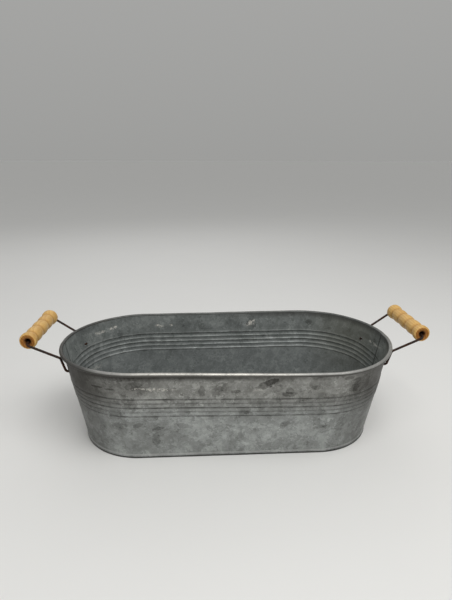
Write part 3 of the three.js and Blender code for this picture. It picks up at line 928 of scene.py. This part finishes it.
# From the hem under the floor, round the foot and up the wall to the end of the rolled rim
def wallLine():
    halfSheet = tub["sheet"] / 2
    hem = wallFoot - 2 * layer
    plainFrom = wallGrid["plainFrom"]
    corners = [Vector(point) for point in (
        (hem, tub["floorHeight"] - layer), (hem, halfSheet), (footRadius, halfSheet),
        (footRadius, footHeight), (wallFoot, flareHeight), (wallRadius(plainFrom), plainFrom))]
    line = roundLine(corners, wallGrid["footBend"], wallGrid["footSteps"])
    bandLow = ribBottom - tub["ribDrop"] - 2 * tub["grooveWidth"]
    bandHigh = ribTop + tub["ribDrop"] + 2 * tub["grooveWidth"]
    heights = chainSteps(
        plainFrom,
        (bandLow, wallGrid["belowRibs"]),
        (bandHigh, round((bandHigh - bandLow) / wallGrid["ribRow"])),
        (tub["holeHeight"] - holePatch["half"], wallGrid["belowHole"]),
        (tub["holeHeight"] + holePatch["half"], holePatch["steps"]),
        (seamTop, wallGrid["aboveHole"]))
    line += [Vector((wallRadius(height), height)) for height in heights[1:]]
    for share in evenSteps(0.0, 1.0, wallGrid["curl"]):
        angle = math.pi - share * tub["curlTurn"]
        reach = Vector((math.cos(angle), math.sin(angle))) * curlRadius
        line.append(Vector((rimRadius, rimHeight)) + reach)
    return line


# The row nearest to a height, apart from those on the outer half of the rolled rim
def rowAt(line, height):
    rows = [i for i, point in enumerate(line) if point.x <= rimRadius]
    return min(rows, key=lambda i: abs(line[i].y - height))


# A station turns a radius into a place: x and y as a start and a share of the radius
def makeStation(x, cos, y, sin, ribs=1.0, out=0.0):
    return {"x": x, "cos": cos, "y": y, "sin": sin, "ribs": ribs, "out": out}


def endStation(side, angle, ribs=1.0):
    return makeStation(side * endAxis, side * math.cos(angle), 0.0, -math.sin(angle), ribs)


def sideStation(x):
    return makeStation(x, 0.0, 0.0, -1.0)


def seamStation(side, y, layers):
    cos = side * math.cos(tub["seamHalfAngle"])
    return makeStation(side * endAxis, cos, y, 0.0, 0.0, layers * layer)


# From the left seam along the front to the right seam
def frontStations():
    angles = chainSteps(
        tub["seamHalfAngle"],
        (holeAngle - patchAngle, wallGrid["beforeHole"]),
        (holeAngle + patchAngle, holePatch["steps"]),
        (math.pi / 2, wallGrid["afterHole"]))
    left, right = (
        [endStation(side, angle, smoothStep(*wallGrid["ribStart"], angle)) for angle in angles]
        for side in (-1, 1))
    middle = [sideStation(x) for x in evenSteps(-endAxis, endAxis, wallGrid["side"])[1:-1]]
    return left + middle + right[::-1]


# All round the tub, with the back as the front turned half round
def loopStations():
    stations = frontStations()
    return [(station, facing) for facing in (-1, 1) for station in stations]


def placeOn(station, radius, facing):
    x = station["x"] + radius * station["cos"]
    y = station["y"] + radius * station["sin"]
    return -facing * x, -facing * y


# Where a point of the true tub lies on the used one
def settle(x, y, z):
    lean = wear["frontLean"] if y < 0 else wear["backLean"]
    share = max(0.0, 1 - (x / wear["leanReach"]) ** 2) * z / tub["height"]
    still = smoothStep(*wear["holeCalm"], math.dist((abs(x), abs(y), z), holePlace))
    alongSide = 1 - smoothStep(*wear["waveEnds"], abs(x))
    waveX, waveY = wear["waveLength"]
    wave = noise.noise(Vector((x / waveX, y / waveY, wear["waveSlice"])))
    wave = wave * smoothStep(*wear["waveHeights"], z) * alongSide
    sag = wear["frontSag"] * share * still if y < 0 else 0.0
    return Vector((x, y + lean * x / 100 * share * still, z + wear["rimWave"] * wave - sag)) * mm


def dent(x, y, height):
    fade = smoothStep(*wear["dentLow"], height) * (1 - smoothStep(*wear["dentHigh"], height))
    fade *= 1 - smoothStep(endAxis, endAxis + wear["dentEnd"], abs(x))
    broad, small = (
        noise.noise(Vector([value / size for value, size in zip((x, y, height), wear[kind])]))
        for kind in ("broadDent", "smallDent"))
    return wear["dentDepth"] * fade * (broad + wear["smallShare"] * small)


def sheetPoint(station, radius, height, facing):
    ribs = station["ribs"] * ribStep(height, -facing * station["sin"]) if radius < rimRadius else 0.0
    x, y = placeOn(station, radius + ribs + station["out"], facing)
    if station["out"] == 0.0:
        push = -facing * dent(x, y, height)
        x += push * station["cos"]
        y += push * station["sin"]
    return settle(x, y, height)


# In pairs: one side of the sheet, then the other
sheetFinishes = [galvanizedOutside, galvanizedInside, galvanizedBead, galvanizedBead,
                 galvanizedBeadInsidePaintedShade, galvanizedBeadInsidePaintedShade]


def finishAt(row, beadRow):
    if row < beadRow:
        return sheetFinishes.index(galvanizedOutside)
    isInner = row < beadRow + wallGrid["innerCurl"]
    return sheetFinishes.index(galvanizedBeadInsidePaintedShade if isInner else galvanizedBead)


def fillStrip(bm, first, second, beadRow):
    for i in range(len(first) - 1):
        corners = (first[i], second[i], second[i + 1], first[i + 1])
        if all(corners):
            face = bm.faces.new(corners)
            face.material_index = finishAt(i, beadRow)


# Rings of faces between a square opening in the sheet and a round hole
def ringHole(bm, columns, firstColumn, firstRow, side, facing):
    count = holePatch["steps"]
    places = [(i, 0) for i in range(count)] + [(count, j) for j in range(count)]
    places += [(i, count) for i in range(count, 0, -1)] + [(0, j) for j in range(count, 0, -1)]
    rings = [[columns[firstColumn + i][firstRow + j] for i, j in places]]
    for share in evenSteps(0.0, 1.0, holePatch["rings"])[1:]:
        ring = []
        for i, j in places:
            across = (i / count * 2 - 1) * holePatch["half"]
            up = (j / count * 2 - 1) * holePatch["half"]
            scale = mix(1.0, tub["holeRadius"] / math.hypot(across, up), share)
            height = tub["holeHeight"] + up * scale
            turn = across * scale / wallRadius(tub["holeHeight"])
            station = endStation(side, holeAngle - side * turn)
            ring.append(bm.verts.new(sheetPoint(station, wallRadius(height), height, facing)))
        rings.append(ring)
    skinRings(bm, rings)


seamFold = {
    "footClear": 0.4,
    "root": 1.6,  # the wall turns into the seam this far before the seam's edge
    "flatSteps": 3,
    "bendSteps": 8,
    # distance before the seam's edge, and layers up
    "rise": [(0.9, 0.15), (0.55, 0.8), (0.45, 1.5), (0.35, 2.2), (0.0, 2.85)],
    "over": 0.4,
}


# Sheet that runs from start to the turn in one layer and folds back to the end in another, as y and layers
def foldPath(start, turn, end, fromLayer, toLayer):
    middle = (fromLayer + toLayer) / 2
    reach = (toLayer - fromLayer) / 2
    way = 1 if turn > start else -1
    path = [(y, fromLayer) for y in evenSteps(start, turn, seamFold["flatSteps"])[1:]]
    for share in evenSteps(0.0, 1.0, seamFold["bendSteps"])[1:]:
        angle = math.pi * share
        path.append((turn + way * abs(reach) * layer * math.sin(angle), middle - reach * math.cos(angle)))
    return path + [(y, toLayer) for y in evenSteps(turn, end, seamFold["flatSteps"])[1:]]


# The wall's two upright edges: cut square at foot and rim, and folded into a lock between them
def addSeamEdges(bm, line, columns, facing):
    low = rowAt(line, flareHeight + seamFold["footClear"])
    high = rowAt(line, seamTop)
    beadRow = len(line) - 1 - wallGrid["curl"]
    width = tub["seamHalfWidth"]
    buttEdge = -tub["gap"] / 2
    allRows = range(len(line))
    lockRows = range(low, high + 1)

    def addColumn(side, y, layers, rows):
        station = seamStation(side, y, layers)
        return {j: bm.verts.new(sheetPoint(station, line[j].x, line[j].y, facing)) for j in rows}

    def join(side, first, second):
        for j in sorted(set(first) & set(second)):
            if j + 1 in first and j + 1 in second:
                corners = (first[j], second[j], second[j + 1], first[j + 1])
                face = bm.faces.new(corners if side > 0 else reversed(corners))
                face.material_index = finishAt(j, beadRow)

    for side, column in ((-1, columns[0]), (1, columns[-1])):
        root = addColumn(side, -width - seamFold["root"], 0, allRows)
        join(side, dict(enumerate(column)), root)
        if facing < 0:
            butt = addColumn(side, buttEdge, 0, allRows)
            join(side, root, butt)
            path = foldPath(buttEdge, width - layer, layer - width, 0, 2)
            last = {j: butt[j] for j in lockRows}
        else:
            for rows in (range(0, low + 1), range(high, len(line))):
                butt = addColumn(side, buttEdge, 0, rows)
                join(side, {j: root[j] for j in rows}, butt)
            path = [(-width - step, layers) for step, layers in seamFold["rise"]]
            path += foldPath(-width + seamFold["over"], width - layer, layer - width, 3, 1)
            last = {j: root[j] for j in lockRows}
        for y, layers in path:
            following = addColumn(side, y, layers, lockRows)
            join(side, last, following)
            last = following


def wallSheet(name, facing):
    bm = bmesh.new()
    line = wallLine()
    stations = frontStations()
    firstRow = rowAt(line, tub["holeHeight"] - holePatch["half"])
    leftColumn = wallGrid["beforeHole"]
    holes = ((leftColumn, -1), (len(stations) - 1 - leftColumn - holePatch["steps"], 1))
    inner = range(1, holePatch["steps"])
    inHole = {(column + i, firstRow + j) for column, side in holes for i in inner for j in inner}
    columns = []
    for i, station in enumerate(stations):
        column = []
        for j, point in enumerate(line):
            isOpen = (i, j) in inHole
            column.append(None if isOpen else bm.verts.new(sheetPoint(station, point.x, point.y, facing)))
        columns.append(column)
    beadRow = len(line) - 1 - wallGrid["curl"]
    for first, second in zip(columns, columns[1:]):
        fillStrip(bm, first, second, beadRow)
    for column, side in holes:
        ringHole(bm, columns, column, firstRow, side, facing)
    addSeamEdges(bm, line, columns, facing)
    return newPiece(bm, name, sheetFinishes)


# Gives a piece of sheet its thickness, with the second finish of each pair on its other side
def thickenSheet(piece):
    solid = piece.modifiers.new("sheet", "SOLIDIFY")
    solid.thickness = tub["sheet"] * mm
    solid.offset = 0.0
    solid.use_even_offset = True
    solid.material_offset = 1
    solid.material_offset_rim = 0
    bpy.context.view_layer.update()
    evaluated = piece.evaluated_get(bpy.context.evaluated_depsgraph_get())
    mesh = bpy.data.meshes.new_from_object(evaluated)
    piece.modifiers.clear()
    old = piece.data
    piece.data = mesh
    bpy.data.meshes.remove(old)
    mesh.name = piece.name


# Turns the faces so that their normals leave from the outside of the wall
def faceOutward(piece):
    low, high = (height * mm for height in wallGrid["plainBand"])
    outward = 0.0
    for face in piece.data.polygons:
        middle = face.center
        heart = Vector((max(-endAxis * mm, min(endAxis * mm, middle.x)), 0.0, middle.z))
        if low < middle.z < high:
            outward += face.normal.dot(middle - heart)
    if outward < 0:
        piece.data.flip_normals()


for wallName, node, facing in (("frontWallSheet", "front_wall", -1), ("backWallSheet", "back_wall", 1)):
    wall = wallSheet(wallName, facing)
    faceOutward(wall)
    thickenSheet(wall)
    smoothFaces(wall, wallGrid["sharpAngle"])
    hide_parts(node)
    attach(wall, "tub")
    print(wallName, len(wall.data.vertices), "points")

pan = {
    "bend": 1.2,
    "bendSteps": 6,
    "edgeStrip": 8.0,
    "floorRows": 14,
    "sag": 0.25,
    "sagLength": 60.0,
    "sagSlice": 5.0,
    "sagFade": (4.0, 30.0),  # the floor is flat at its edge and sags further in
    "weld": 0.02,
    "sharpAngle": 40,
}


def panSheet(name):
    bm = bmesh.new()
    edge = wallFoot - layer
    height = tub["floorHeight"] - tub["sheet"] / 2
    strip = edge - pan["edgeStrip"]
    corners = [Vector((strip, height)), Vector((edge, height)), Vector((edge, layer))]
    line = [Vector((r, height)) for r in evenSteps(0.0, strip, pan["floorRows"])]
    line += roundLine(corners, pan["bend"], pan["bendSteps"])[1:]
    fadeFrom, fadeTo = (edge - step for step in pan["sagFade"])
    columns = []
    for station, facing in loopStations():
        column = []
        for point in line:
            x, y = placeOn(station, point.x, facing)
            swell = noise.noise(Vector((x / pan["sagLength"], y / pan["sagLength"], pan["sagSlice"])))
            sag = pan["sag"] * swell * smoothStep(fadeFrom, fadeTo, point.x)
            column.append(bm.verts.new(Vector((x, y, point.y - abs(sag))) * mm))
        columns.append(column)
    for first, second in zip(columns, columns[1:] + columns[:1]):
        fillStrip(bm, first, second, len(line))
    bmesh.ops.remove_doubles(bm, verts=bm.verts, dist=pan["weld"] * mm)
    return newPiece(bm, name, sheetFinishes)


panPiece = panSheet("bottomPanSheet")
upward = sum(face.normal.z * face.area for face in panPiece.data.polygons)
if upward > 0:
    panPiece.data.flip_normals()
thickenSheet(panPiece)
smoothFaces(panPiece, pan["sharpAngle"])
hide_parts("bottom_pan")
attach(panPiece, "tub")
print("bottomPanSheet", len(panPiece.data.vertices), "points")

rimWire = {"sides": 12, "sharpAngle": 60}


# Wire inside the rolled rim, which follows the rim's lean
def rimRing(name):
    bm = bmesh.new()
    rings = []
    for station, facing in loopStations():
        ring = []
        for angle in evenSteps(0.0, 2 * math.pi, rimWire["sides"])[:-1]:
            x, y = placeOn(station, rimRadius + tub["rimWireRadius"] * math.cos(angle), facing)
            z = rimHeight + tub["rimWireRadius"] * math.sin(angle)
            ring.append(bm.verts.new(settle(x, y, z)))
        rings.append(ring)
    skinRings(bm, rings + rings[:1])
    return newPiece(bm, name, [rimSteel])


rimPiece = rimRing("rimWireRing")
smoothFaces(rimPiece, rimWire["sharpAngle"])
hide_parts("rim_wire")
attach(rimPiece, "tub")
print("rimWireRing", len(rimPiece.data.vertices), "points")

bail = {
    "wireRadius": 1.45,
    "clearRadius": 1.3,  # the wire's path keeps this much and a gap from what it passes
    "hookRadius": 3.5,
    "hookTip": math.radians(40),
    "bendRadius": 4.0,
    "gripReach": 235.5,
    "gripHeight": 139.0,
    "hookSteps": 28,
    "bendSteps": 10,
    "bowSteps": 24,
    "sides": 16,
    # step past the wire's end and radius there, as shares of its radius
    "caps": [(0.05, 0.75), (0.275, 0.45)],
    "sharpAngle": 50,
}


# One leg of the right bail in its upright plane: pivot, hole, end of the hook, and kink under the rim
def bailLeg(elbow):
    def across(radius):
        return endAxis + math.sqrt(radius ** 2 - tub["holeSpread"] ** 2)

    hookRadius = bail["hookRadius"]
    hole = Vector((across(wallRadius(tub["holeHeight"])), tub["holeHeight"]))
    above = Vector((across(wallRadius(tub["holeHeight"] + hookRadius)), tub["holeHeight"] + hookRadius))
    pivot = hole + (above - hole).normalized() * hookRadius
    bead = Vector((across(rimRadius), rimHeight))
    beadReach = across(rimRadius + curlRadius + tub["sheet"] / 2) - bead.x
    clear = beadReach + bail["clearRadius"] + tub["gap"]
    toBead = bead - elbow
    turn = math.atan2(toBead.y, toBead.x) + math.asin(clear / toBead.length)
    kink = bead + Vector((-math.sin(turn), math.cos(turn))) * clear
    toKink = kink - pivot
    leaveTurn = math.atan2(toKink.y, toKink.x) - math.acos(hookRadius / toKink.length)
    leave = pivot + Vector((math.cos(leaveTurn), math.sin(leaveTurn))) * hookRadius
    return pivot, hole, leave, kink


def arcPoints(centre, start, axis, angle, steps):
    arm = start - centre
    return [centre + Quaternion(axis, angle * share) @ arm for share in evenSteps(0.0, 1.0, steps)]


def bendPoints(before, corner, after, radius, steps):
    back = (before - corner).normalized()
    on = (after - corner).normalized()
    half = back.angle(on) / 2
    start = corner + back * radius / math.tan(half)
    centre = corner + (back + on).normalized() * radius / math.sin(half)
    return arcPoints(centre, start, on.cross(back).normalized(), math.pi - 2 * half, steps)


# The right bail from hook tip to hook tip, with its crossbar bowed up so that the grip hangs on its middle
def bailPath():
    play = grip["boreRadius"] - bail["clearRadius"] - tub["gap"]
    rise = 2 * play
    reach = grip["length"] / 2
    bow = reach ** 2 / (4 * rise)
    slope = math.atan((4 - 2 * math.sqrt(2)) * rise / reach)
    elbow = reach + tub["gap"] + bail["bendRadius"]
    peak = bail["gripHeight"] + play + bow * (1 / math.cos(slope) - 1)
    elbowHeight = peak - elbow * math.tan(slope)
    pivot, hole, leave, kink = bailLeg(Vector((bail["gripReach"], elbowHeight)))
    spread = tub["holeSpread"]
    near = [Vector((leave.x, -spread, leave.y)), Vector((kink.x, -spread, kink.y)),
            Vector((bail["gripReach"], -elbow, elbowHeight))]
    middle = Vector((bail["gripReach"], 0.0, peak))
    mirror = Vector((1.0, -1.0, 1.0))
    corners = near + [middle] + [point * mirror for point in reversed(near)]
    centre = Vector((pivot.x, -spread, pivot.y))
    turn = (hole - pivot).angle(leave - pivot) + bail["hookTip"]
    axis = Vector((0.0, -1.0, 0.0))
    tip = centre + Quaternion(axis, -turn) @ (near[0] - centre)
    hook = arcPoints(centre, tip, axis, turn, bail["hookSteps"])
    path = list(hook)
    for before, corner, after in zip(corners, corners[1:], corners[2:]):
        if corner is middle:
            path += bendPoints(before, corner, after, bow, bail["bowSteps"])
        else:
            path += bendPoints(before, corner, after, bail["bendRadius"], bail["bendSteps"])
    return path + [point * mirror for point in reversed(hook)]


# Round wire along a path, with rounded ends
def wirePiece(name, path):
    bm = bmesh.new()
    count = len(path)
    radius = bail["wireRadius"]
    tangents = [(path[min(i + 1, count - 1)] - path[max(i - 1, 0)]).normalized() for i in range(count)]

    def capAt(i, way):
        arm = tangents[i] * radius
        return [(path[i] + arm * step * way, tangents[i], radius * share) for step, share in bail["caps"]]

    stations = [(point, tangent, radius) for point, tangent in zip(path, tangents)]
    stations = capAt(0, -1)[::-1] + stations + capAt(-1, 1)
    normal = tangents[0].orthogonal().normalized()
    before = tangents[0]
    rings = []
    for point, tangent, size in stations:
        normal = before.rotation_difference(tangent) @ normal
        normal = (normal - tangent * normal.dot(tangent)).normalized()
        side = tangent.cross(normal)
        before = tangent
        ring = []
        for k in range(bail["sides"]):
            angle = 2 * math.pi * k / bail["sides"]
            arm = normal * math.cos(angle) + side * math.sin(angle)
            ring.append(bm.verts.new((point + arm * size) * mm))
        rings.append(ring)
    skinRings(bm, rings)
    bm.faces.new(reversed(rings[0]))
    bm.faces.new(rings[-1])
    return newPiece(bm, name, [bailWire])


# Outline of the turned grip from bore edge to bore edge, as radius and length along its axis
def gripLine():
    end = grip["length"] / 2
    lip = grip["knobLength"] / grip["lips"]
    knob, neck = grip["knobRadius"], grip["neckRadius"]
    corners = [(grip["boreRadius"], lip / 2 - end), (knob - lip, -end)]
    corners += [(mix(neck, knob, share), lips * lip - end) for share, lips in grip["shoulder"]]
    corners.append((neck, grip["knobLength"] - end))
    half = roundLine([Vector(corner) for corner in corners], grip["bend"], grip["bendSteps"])
    beads = []
    for i in range(1, grip["beads"] * grip["beadSteps"]):
        phase = i / grip["beadSteps"]
        isOuter = phase < 0.5 or phase > grip["beads"] - 0.5
        low = neck if isOuter else grip["grooveRadius"]
        radius = mix(low, grip["beadRadius"], abs(math.sin(math.pi * phase)) ** grip["swell"])
        beads.append(Vector((radius, grip["knobLength"] - end + phase * gripBeadLength)))
    return half + beads + [Vector((point.x, -point.y)) for point in reversed(half)]


def gripPiece(name):
    bm = bmesh.new()
    line = gripLine()
    bore = evenSteps(line[-1].y, line[0].y, grip["boreSteps"])[1:-1]
    outline = line + [Vector((grip["boreRadius"], y)) for y in bore]
    endFrom = grip["length"] / 2 - grip["endDepth"]
    endWithin = grip["knobRadius"] - grip["endEdge"]
    rings = []
    for k in range(grip["sides"]):
        angle = 2 * math.pi * k / grip["sides"]
        points = [(p.x * math.cos(angle), p.y, p.x * math.sin(angle)) for p in outline]
        rings.append([bm.verts.new(Vector(point) * mm) for point in points])
    for first, second in zip(rings, rings[1:] + rings[:1]):
        for j in range(len(outline)):
            n = (j + 1) % len(outline)
            face = bm.faces.new((first[j], second[j], second[n], first[n]))
            middle = (outline[j] + outline[n]) / 2
            isEnd = abs(middle.y) > endFrom and middle.x < endWithin
            isBore = middle.x < grip["boreRadius"] + grip["boreSlack"]
            face.material_index = 1 if isEnd or isBore else 0
    return newPiece(bm, name, [gripWood, gripEndGrain])


wirePath = bailPath()
for word, side in (("left", -1), ("right", 1)):
    turned = [Vector((side * point.x, side * point.y, point.z)) for point in wirePath]
    wireObject = wirePiece(word + "BailWire", turned)
    gripObject = gripPiece(word + "GripWood")
    gripObject.location = Vector((side * bail["gripReach"], 0.0, bail["gripHeight"])) * mm
    dressed = ((wireObject, word + "_bail", "bail_wire"), (gripObject, word + "_grip", "grip_wood"))
    for piece, body, slot in dressed:
        smoothFaces(piece, bail["sharpAngle"])
        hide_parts(body)
        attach(piece, body)
print("bails and grips made")

stage = {
    "floorSize": 60.0,
    "floorColours": ((0.79, 0.79, 0.78, 1.0), (0.81, 0.81, 0.80, 1.0)),
    "floorCloud": (6.0, 3.0),
    "floorRoughness": 0.7,
    "horizon": (0.34, 0.34, 0.332, 1.0),
    "zenith": (0.4675, 0.4675, 0.46, 1.0),
}
softboxes = [
    {"name": "keySoftbox", "place": (0.28, -0.6, 1.35), "aim": (0.0, -0.05, 0.05), "size": (1.1, 0.8),
     "power": 12.9, "colour": (1.0, 0.99, 0.97)},
    {"name": "backSoftbox", "place": (-0.3, 1.2, 1.1), "aim": (0.0, 0.05, 0.05), "size": (1.2, 0.8),
     "power": 2.5, "colour": (1.0, 1.0, 1.0)},
]
camera = {
    "place": (-0.0323, -0.5434, 0.3464),
    "forward": (0.05333, 0.95112, -0.30417),
    "roll": math.radians(0.136),
    "lens": 27.233,
    "sensorWidth": 36.0,
    "clipStart": 0.01,
}


def makeFloor():
    mesh = bpy.data.meshes.new("paleFloor")
    half = stage["floorSize"] / 2
    corners = [(-half, -half, 0), (half, -half, 0), (half, half, 0), (-half, half, 0)]
    mesh.from_pydata(corners, [], [(0, 1, 2, 3)])
    material, bench, shader = newMaterial("paleFloor")
    cloud = bench.noise(bench.position(), *stage["floorCloud"])
    bench.feed(shader.inputs["Base Color"], bench.blend(cloud, *stage["floorColours"]))
    shader.inputs["Roughness"].default_value = stage["floorRoughness"]
    mesh.materials.append(material)
    addToScene("paleFloor", mesh)


# An even studio dome, a little brighter overhead
def makeWorld():
    world = bpy.data.worlds.new("softStudio")
    bpy.context.scene.world = world
    world.use_nodes = True
    bench = NodeBench(world.node_tree)
    upward = bench.parts(bench.add("ShaderNodeTexCoord").outputs["Generated"])[2]
    rise = bench.between(upward, 0.0, 1.0, 0.0, 1.0, "LINEAR")
    background = world.node_tree.nodes["Background"]
    bench.feed(background.inputs["Color"], bench.blend(rise, stage["horizon"], stage["zenith"]))


def addSoftbox(box):
    data = bpy.data.lights.new(box["name"], "AREA")
    data.shape = "RECTANGLE"
    data.size, data.size_y = box["size"]
    data.energy = box["power"]
    data.color = box["colour"]
    lamp = addToScene(box["name"], data)
    lamp.location = box["place"]
    lamp.rotation_euler = (Vector(box["aim"]) - Vector(box["place"])).to_track_quat("-Z", "Y").to_euler()


def makeCamera():
    data = bpy.data.cameras.new("photoCamera")
    data.lens = camera["lens"]
    data.sensor_width = camera["sensorWidth"]
    data.clip_start = camera["clipStart"]
    eye = addToScene("photoCamera", data)
    eye.location = camera["place"]
    aim = Vector(camera["forward"]).to_track_quat("-Z", "Y")
    eye.rotation_mode = "QUATERNION"
    eye.rotation_quaternion = aim @ Quaternion((0.0, 0.0, 1.0), camera["roll"])
    bpy.context.scene.camera = eye


makeFloor()
makeWorld()
for softbox in softboxes:
    addSoftbox(softbox)
makeCamera()
bpy.context.scene.view_settings.view_transform = "Standard"
print("camera and lights made")
